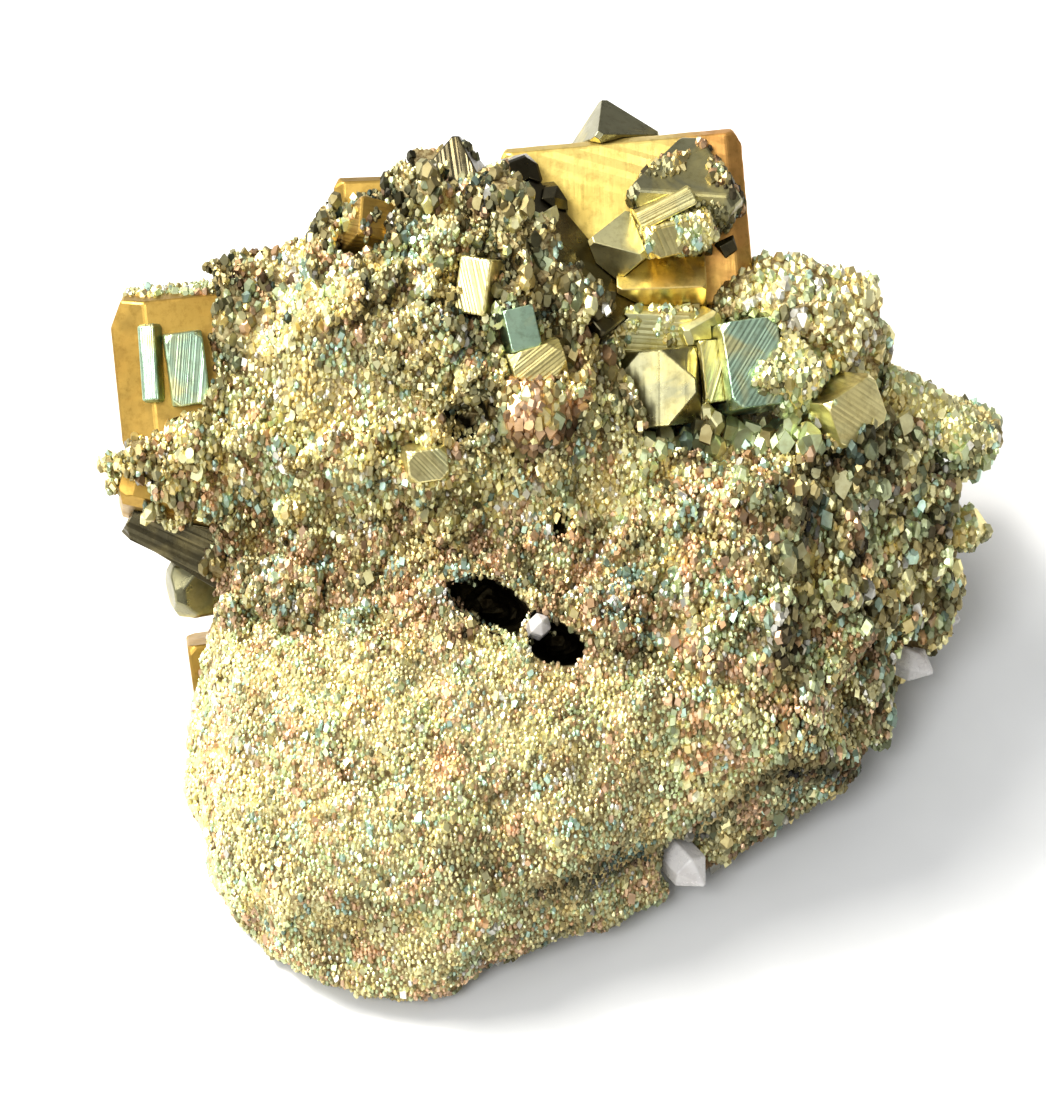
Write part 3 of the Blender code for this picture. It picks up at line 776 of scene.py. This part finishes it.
def grains_object(name, *grains):
    """One mesh of small crystals, each with its own tint and patch of the texture square."""
    verts, loops, starts, totals, face_tint, uv = grain_arrays(*grains)
    mesh = bpy.data.meshes.new(name)
    mesh.vertices.add(len(verts))
    mesh.vertices.foreach_set("co", verts.astype(np.float32).ravel())
    mesh.loops.add(len(loops))
    mesh.loops.foreach_set("vertex_index", loops.astype(np.int32))
    mesh.polygons.add(len(starts))
    mesh.polygons.foreach_set("loop_start", starts.astype(np.int32))
    mesh.polygons.foreach_set("loop_total", totals.astype(np.int32))
    mesh.update(calc_edges=True)
    mesh.shade_flat()
    tint = mesh.attributes.new("tint", "FLOAT_COLOR", "FACE")
    opaque = np.column_stack([face_tint, np.ones(len(face_tint))])
    tint.data.foreach_set("color", opaque.astype(np.float32).ravel())
    layer = mesh.uv_layers.new(name="OFBake")
    layer.data.foreach_set("uv", uv.astype(np.float32).ravel())
    mesh.validate()
    mesh.materials.append(GRAINS)
    obj = linked(name, mesh)
    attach(obj, "root")


def painted_shade_at(spots, normals):
    """How bright each place is left by painted shade: spots of it, the painted shadow along the
    lower edge and the hill's steep right flank.
    """
    across, up, _ = on_face(spots).T
    left = np.ones(len(spots))
    # Painted shade in spots on the right side.
    for (x, y), (wide, high), depth in PAINTED_SHADE_SPOTS:
        left *= 1 - depth * np.exp(-(((across - x) / wide) ** 2) - ((up - y) / high) ** 2)
    # A painted shadow along the lower edge, and painted shade below it.
    below = up - np.interp(across, *SHADOW_LINE)
    along = smooth_step(-6, -2, across) * smooth_step(36, 32, across)
    line_shadow = SHADOW_LINE_DEPTH * np.exp(-((below / SHADOW_LINE_WIDTH) ** 2))
    left *= 1 - along * (line_shadow + BELOW_SHADOW_LINE * smooth_step(0.5, -1, below))
    # Painted shade on the hill's steep right flank.
    flank = smooth_step(0.1, 0.55, normals[:, 0]) * smooth_step(20, 25, up)
    flank *= smooth_step(12, 8, across)
    return left * (1 - FLANK * flank)


def tints_for(spots, normals, region):
    """A colour for each grain: patches of a few mm favour one tint, with painted shade on
    undersides, in blotches and in spots, and painted glints.
    """
    blotches = SHADE_BLOTCHES[region]
    favours = [TINT_PULL * cloud(spots, TINT_PATCH, 20 + i, 2) for i in range(len(TINTS))]
    patches = np.exp(favours).T
    weights = TINT_SHARES[region] * patches
    sums = np.cumsum(weights, axis=1)
    kind = (rng.random(len(spots))[:, None] * sums[:, -1:] > sums).sum(axis=1)
    tone = 1 + TONE_CHANGE * cloud(spots, TONE_PATCH, 5, 2)
    tints = TINT_VALUES[kind] * tone[:, None] * rng.normal(1, GRAIN_CHANGE, (len(spots), 1))
    # Painted glints: a share of the grains skip the region's and the underside's painted shade and
    # are painted brighter.
    painted_glint = rng.random(len(spots)) < PAINTED_GLINTS + PAINTED_GLINTS_IN_BLOTCHES * blotches
    # Blotches of painted shade, then the painted shade of the spots, the shadow line and the flank.
    shade_blotch = smooth_step(0.05, 0.4, cloud(spots, SHADE_BLOTCH_SIZE, 9, 2))
    painted_gloom = 1 - SHADE_BLOTCH_DEPTH * shade_blotch * blotches
    painted_gloom *= painted_shade_at(spots, normals)
    # Painted shade on grains that face away from the painted light.
    underside_painted_shade = 0.42 + 0.58 * smooth_step(-0.35, 0.3, normals @ LIT)
    shade = np.where(painted_glint, 0.2 + 0.9 * painted_gloom, SHADES[region] * underside_painted_shade * painted_gloom)
    return np.clip(tints * shade[:, None], *TINT_LIMITS)


def habits_for(shares):
    """The number of each grain's form in HABITS; a bead is one of three, at random."""
    sums = np.cumsum(shares, axis=1)
    kind = (rng.random(len(shares))[:, None] > sums).sum(axis=1).clip(0, shares.shape[1] - 1)
    return np.where(kind == 0, rng.integers(0, 3, len(shares)), kind + 2)


HALF_SIZE = 0.66  # of a grain, of the spacing
LARGER = (1.4, 2.0)  # times the usual size, for the larger crystals
PAINTED_SHEEN = 1.2  # how much brighter half of the larger crystals are painted, as a painted sheen
UNEVEN = (0.84, 1.18)  # the length of each side of a grain, of its size
LEAN = 0.8  # how far the grains lean from the rock's normal
SUNK = (-0.45, 0.15)  # where a grain's middle is along the normal, of its half size


def grow(prefix, pieces, spots, normals, region):
    """Grains at the given spots, split over a few objects."""
    count = len(spots)
    large = rng.random(count) < LARGE[region]
    half = SPACING[region] * HALF_SIZE * np.exp(rng.normal(0, 0.14, count))
    half = np.where(large, half * rng.uniform(*LARGER, count), half)
    habits = habits_for(HABIT_SHARES[region])
    sizes = half[:, None] * rng.uniform(*UNEVEN, (count, 3)) * MM
    turns = frames_for(normals, LEAN)
    tints = tints_for(spots, normals, region)
    # Painted sheen: half of the larger crystals are painted brighter.
    sheen_painted = large & (rng.random(count) < 0.5)
    tints = np.where(sheen_painted[:, None], np.minimum(tints * PAINTED_SHEEN, TINT_LIMITS[1]), tints)
    spots = spots + normals * (half * rng.uniform(*SUNK, count) * MM)[:, None]
    for number, member in enumerate(np.array_split(np.argsort(region, kind="stable"), pieces)):
        each = (values[member] for values in (spots, turns, sizes, habits, tints))
        grains_object(f"{prefix}_{number}", *each)


def build_grains(skin):
    """The grains of the rock, in ten pieces."""
    grow("grains", 10, *scatter(skin))


# ---------------------------------------------------------------- crystals

# Growth lines: the direction across them on the broad face, their spacing and their depth in mm.
LINED = {
    "left_blade_outer": ((1, 0.05, 0), 0.20, 0.028),
    "left_blade_inner": ((1, -0.08, 0), 0.20, 0.022),
    "left_under_crystal": ((0.45, 0.86, 0.3), 0.6, 0.1),
    "ridge_peak": ((1, 0.15, 0), 0.31, 0.036),
    "hill_step_cube": ((0.15, 1, 0.1), 0.34, 0.054),
    "hill_block": ((1, 0.22, 0), 0.26, 0.045),
    "hill_pale_block": ((0.7, 0.7, 0), 0.31, 0.045),
    "ridge_teal_cube": ((0.2, 1, 0), 0.43, 0.018),
    "ridge_pale_wedge": ((-0.62, 0.78, 0), 0.25, 0.045),
    "recess_bar": ((-0.45, 0.89, 0), 0.22, 0.054),
    "recess_golden_block": ((0.9, 0.4, 0), 0.5, 0.063),
    "recess_yellow_block": ((0.1, 1, 0.4), 0.37, 0.054),
    "recess_olive_cuboid": ((1, 0, 0.1), 0.56, 0.023),
    "recess_column": ((1, -0.3, 0), 0.25, 0.045),
    "recess_teal_cube": ((0.85, -0.52, 0), 0.34, 0.045),
    "recess_yellow_cube": ((0.5, 0.86, 0), 0.37, 0.036),
    "back_large_cube": ((0.25, 0.95, 0.2), 1.4, 0.05),
    "back_left_cube": ((0.3, 0.1, 1), 0.56, 0.032),
    "back_middle_cube": ((1, 0.1, 0.2), 0.5, 0.032),
    "back_right_cube": ((0.2, 1, -0.4), 0.56, 0.032),
    "back_low_pyritohedron": ((0.2, 0.4, 1), 0.5, 0.027),
    "back_top_cube": ((1, 0.4, 0), 0.43, 0.027),
}

# Crystals that small grains coat: the grains' region, the least value of a patchy noise where they
# grow, and how far up the face they begin.
COATED = {
    "saddle_copper_crystal": ("copper", -1, -50),
    "recess_pitted_pyramid": ("druse", -1, -50),
    "right_corner_crystal": ("druse", -1, -50),
    "right_back_cube": ("druse", -1, -50),
    "recess_yellow_block": ("crust", 0.12, -50),
    "recess_golden_block": ("crust", 0.05, -50),
    "recess_yellow_cube": ("crust", 0.25, -50),
    "hill_step_cube": ("crust", 0.2, -50),
    "ridge_peak": ("crust", 0.25, -50),
    "back_foot_cube": ("crust", 0.1, -50),
    "back_top_cube": ("crust", 0.3, -50),
    "back_right_octahedron": ("crust", 0.3, -50),
    "left_upper_cube": ("crust", -1, 27.0),
    "dark_octahedron": ("dusk", 0.02, -50),
    "right_spike": ("druse", -0.1, -50),
}


def grow_lines(bm, across, spacing, depth):
    """Cuts a crystal by planes across a direction and sinks every other cut, as grooves."""
    across = Vector(np.array(across) @ FACE_AXES).normalized()
    reach = [across.dot(vert.co) for vert in bm.verts]
    at, places = min(reach), []
    while at < max(reach):
        at += spacing * rng.uniform(0.35, 1.0) * MM
        places.append(at)
    sunk = []
    for number, at in enumerate(places[:-1]):
        cut = bmesh.ops.bisect_plane(
            bm, geom=bm.verts[:] + bm.edges[:] + bm.faces[:], dist=1e-7, plane_co=across * at,
            plane_no=across,
        )
        if number % 2:
            sunk.append([part for part in cut["geom_cut"] if isinstance(part, bmesh.types.BMVert)])
    bm.normal_update()
    for verts in sunk:
        sink = depth * rng.uniform(0.3, 1.0) * MM
        for vert in verts:
            if vert.is_valid:
                vert.co -= vert.normal * sink


ROUNDING = 0.24  # mm, the most that a crystal's edges are rounded
SWELL = 0.12  # mm that a crystal's faces stand out from its CAD solid, to narrow the gap around it


def build_crystal(node, slot):
    """A finished crystal in place of a plain CAD one: rounded edges, and any growth lines."""
    low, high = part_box(node)
    size = max(Vector(high) - Vector(low))

    def edit(work):
        weld = work.modifiers.new("Weld", "WELD")
        weld.merge_threshold = 0.002 * MM
        flats = work.modifiers.new("Flats", "DECIMATE")
        flats.decimate_type, flats.angle_limit = "DISSOLVE", math.radians(1)
        bevel = work.modifiers.new("Edges", "BEVEL")
        bevel.width, bevel.segments = min(ROUNDING * MM, size * 0.02), 2
        bevel.limit_method = "ANGLE"
        bevel.angle_limit = math.radians(20)

    obj = evaluated_copy(frame["nodes"][node], "c_" + node, edit)
    bm = bmesh.new()
    bm.from_mesh(obj.data)
    if node in LINED:
        grow_lines(bm, *LINED[node])
    bm.normal_update()
    for vert in bm.verts:
        vert.co += vert.normal * SWELL * MM
    bm.to_mesh(obj.data)
    bm.free()
    if "custom_normal" in obj.data.attributes:
        obj.data.attributes.remove(obj.data.attributes["custom_normal"])
    obj.data.shade_flat()
    obj.data.materials.clear()
    obj.data.materials.append(MATERIALS[LOOKS.get(node, slot)])
    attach(obj, "root")
    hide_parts(node)
    return obj


def add_druse(obj, node, region, least, begins):
    """Small grains on a crystal, wherever a patchy noise is above the least."""
    spots, normals = spread(obj.data, DRUSE_TRIES)
    patchy = cloud(spots, 3.5, 31, 2)
    shown = (patchy > least) & (spots[:, 2] > FOOT * MM)
    shown &= on_face(spots)[:, 1] > begins + patchy
    spots, normals = spots[shown], normals[shown]
    if len(spots):
        number = np.full(len(spots), REGION_NAMES.index(region))
        chosen = apart(spots, SPACING[number])
        grow("druse_" + node, 1, spots[chosen], normals[chosen], number[chosen])


def build_crystals():
    """Every crystal, and then the grains on some of them."""
    slots = {entry["node"]: entry["material_slot"] for entry in frame["record"]["subparts"]}
    crystals = [node for node in frame["nodes"] if node != "matrix"]
    built = {node: build_crystal(node, slots[node]) for node in crystals}
    for node, (region, least, begins) in COATED.items():
        add_druse(built[node], node, region, least, begins)


# ---------------------------------------------------------------- studio

def area_light(name, place, strength, colour):
    """A round soft light half a metre wide, aimed at the specimen."""
    light = bpy.data.lights.new(name, "AREA")
    light.shape, light.size, light.energy, light.color = "DISK", 0.5, strength, colour
    obj = linked(name, light)
    obj.location = place
    middle = Vector((0, 0, 0.02))
    obj.rotation_euler = (middle - Vector(place)).to_track_quat("-Z", "Y").to_euler()


def build_studio():
    """A plain pale floor, a sun from behind on the left, two soft lights and a pale sky."""
    bm = bmesh.new()
    bmesh.ops.create_circle(bm, cap_ends=True, segments=96, radius=3.0)
    mesh = bpy.data.meshes.new("floor")
    bm.to_mesh(mesh)
    bm.free()
    floor = linked("floor", mesh)
    floor.location.z = -0.02 * MM
    n = Nodes("pale_floor")
    pale = n.ramp(n.noise(60, 3), (0.3, (0.80, 0.80, 0.79)), (0.7, (0.84, 0.84, 0.83)))
    mesh.materials.append(n.finish(pale, 0.7, 0.0))

    sun = bpy.data.lights.new("sun", "SUN")
    sun.energy, sun.angle, sun.color = 1.7, math.radians(5), (1.0, 0.97, 0.92)
    obj = linked("sun", sun)
    obj.rotation_euler = Vector((0.62, -0.38, -0.72)).to_track_quat("-Z", "Y").to_euler()

    area_light("key", (-0.6, 0.3, 0.7), 12, (1.0, 0.98, 0.94))
    area_light("fill", (-0.35, -0.6, 0.8), 5, (0.96, 0.98, 1.0))

    world = bpy.data.worlds.new("studio")
    scene.world = world
    world.use_nodes = True
    nodes, links = world.node_tree.nodes, world.node_tree.links
    background = nodes["Background"]
    place = nodes.new("ShaderNodeTexCoord")
    towards = nodes.new("ShaderNodeVectorMath")
    towards.operation = "DOT_PRODUCT"
    towards.inputs[1].default_value = (-0.55, 0.05, 0.83)
    ramp = nodes.new("ShaderNodeValToRGB")
    links.new(place.outputs["Generated"], towards.inputs[0])
    links.new(towards.outputs["Value"], ramp.inputs["Fac"])
    points = ramp.color_ramp.elements
    points[0].position, points[0].color = 0.0, (0.24, 0.24, 0.24, 1)
    points[1].position, points[1].color = 0.9, (0.86, 0.87, 0.88, 1)
    links.new(ramp.outputs["Color"], background.inputs["Color"])
    background.inputs["Strength"].default_value = 0.92
    scene.view_settings.view_transform = "Standard"


def build_camera():
    """The camera looks down at 50 degrees, square to the broad face."""
    reach = 0.4  # m from the face
    seen = 0.1155  # m of the face from the picture's top to its bottom
    aim = (-3.73, 0.16)  # mm on the face, in the middle of the picture
    data = bpy.data.cameras.new("camera")
    data.sensor_width = 36
    data.lens = data.sensor_width * reach / seen
    data.clip_end = 20
    camera = linked("camera", data)
    camera.location = from_face(*aim, reach / MM)
    camera.rotation_euler = (TILT, 0, 0)
    scene.camera = camera


build_camera()
build_studio()
rock = build_skin()
build_grains(rock)
build_crystals()
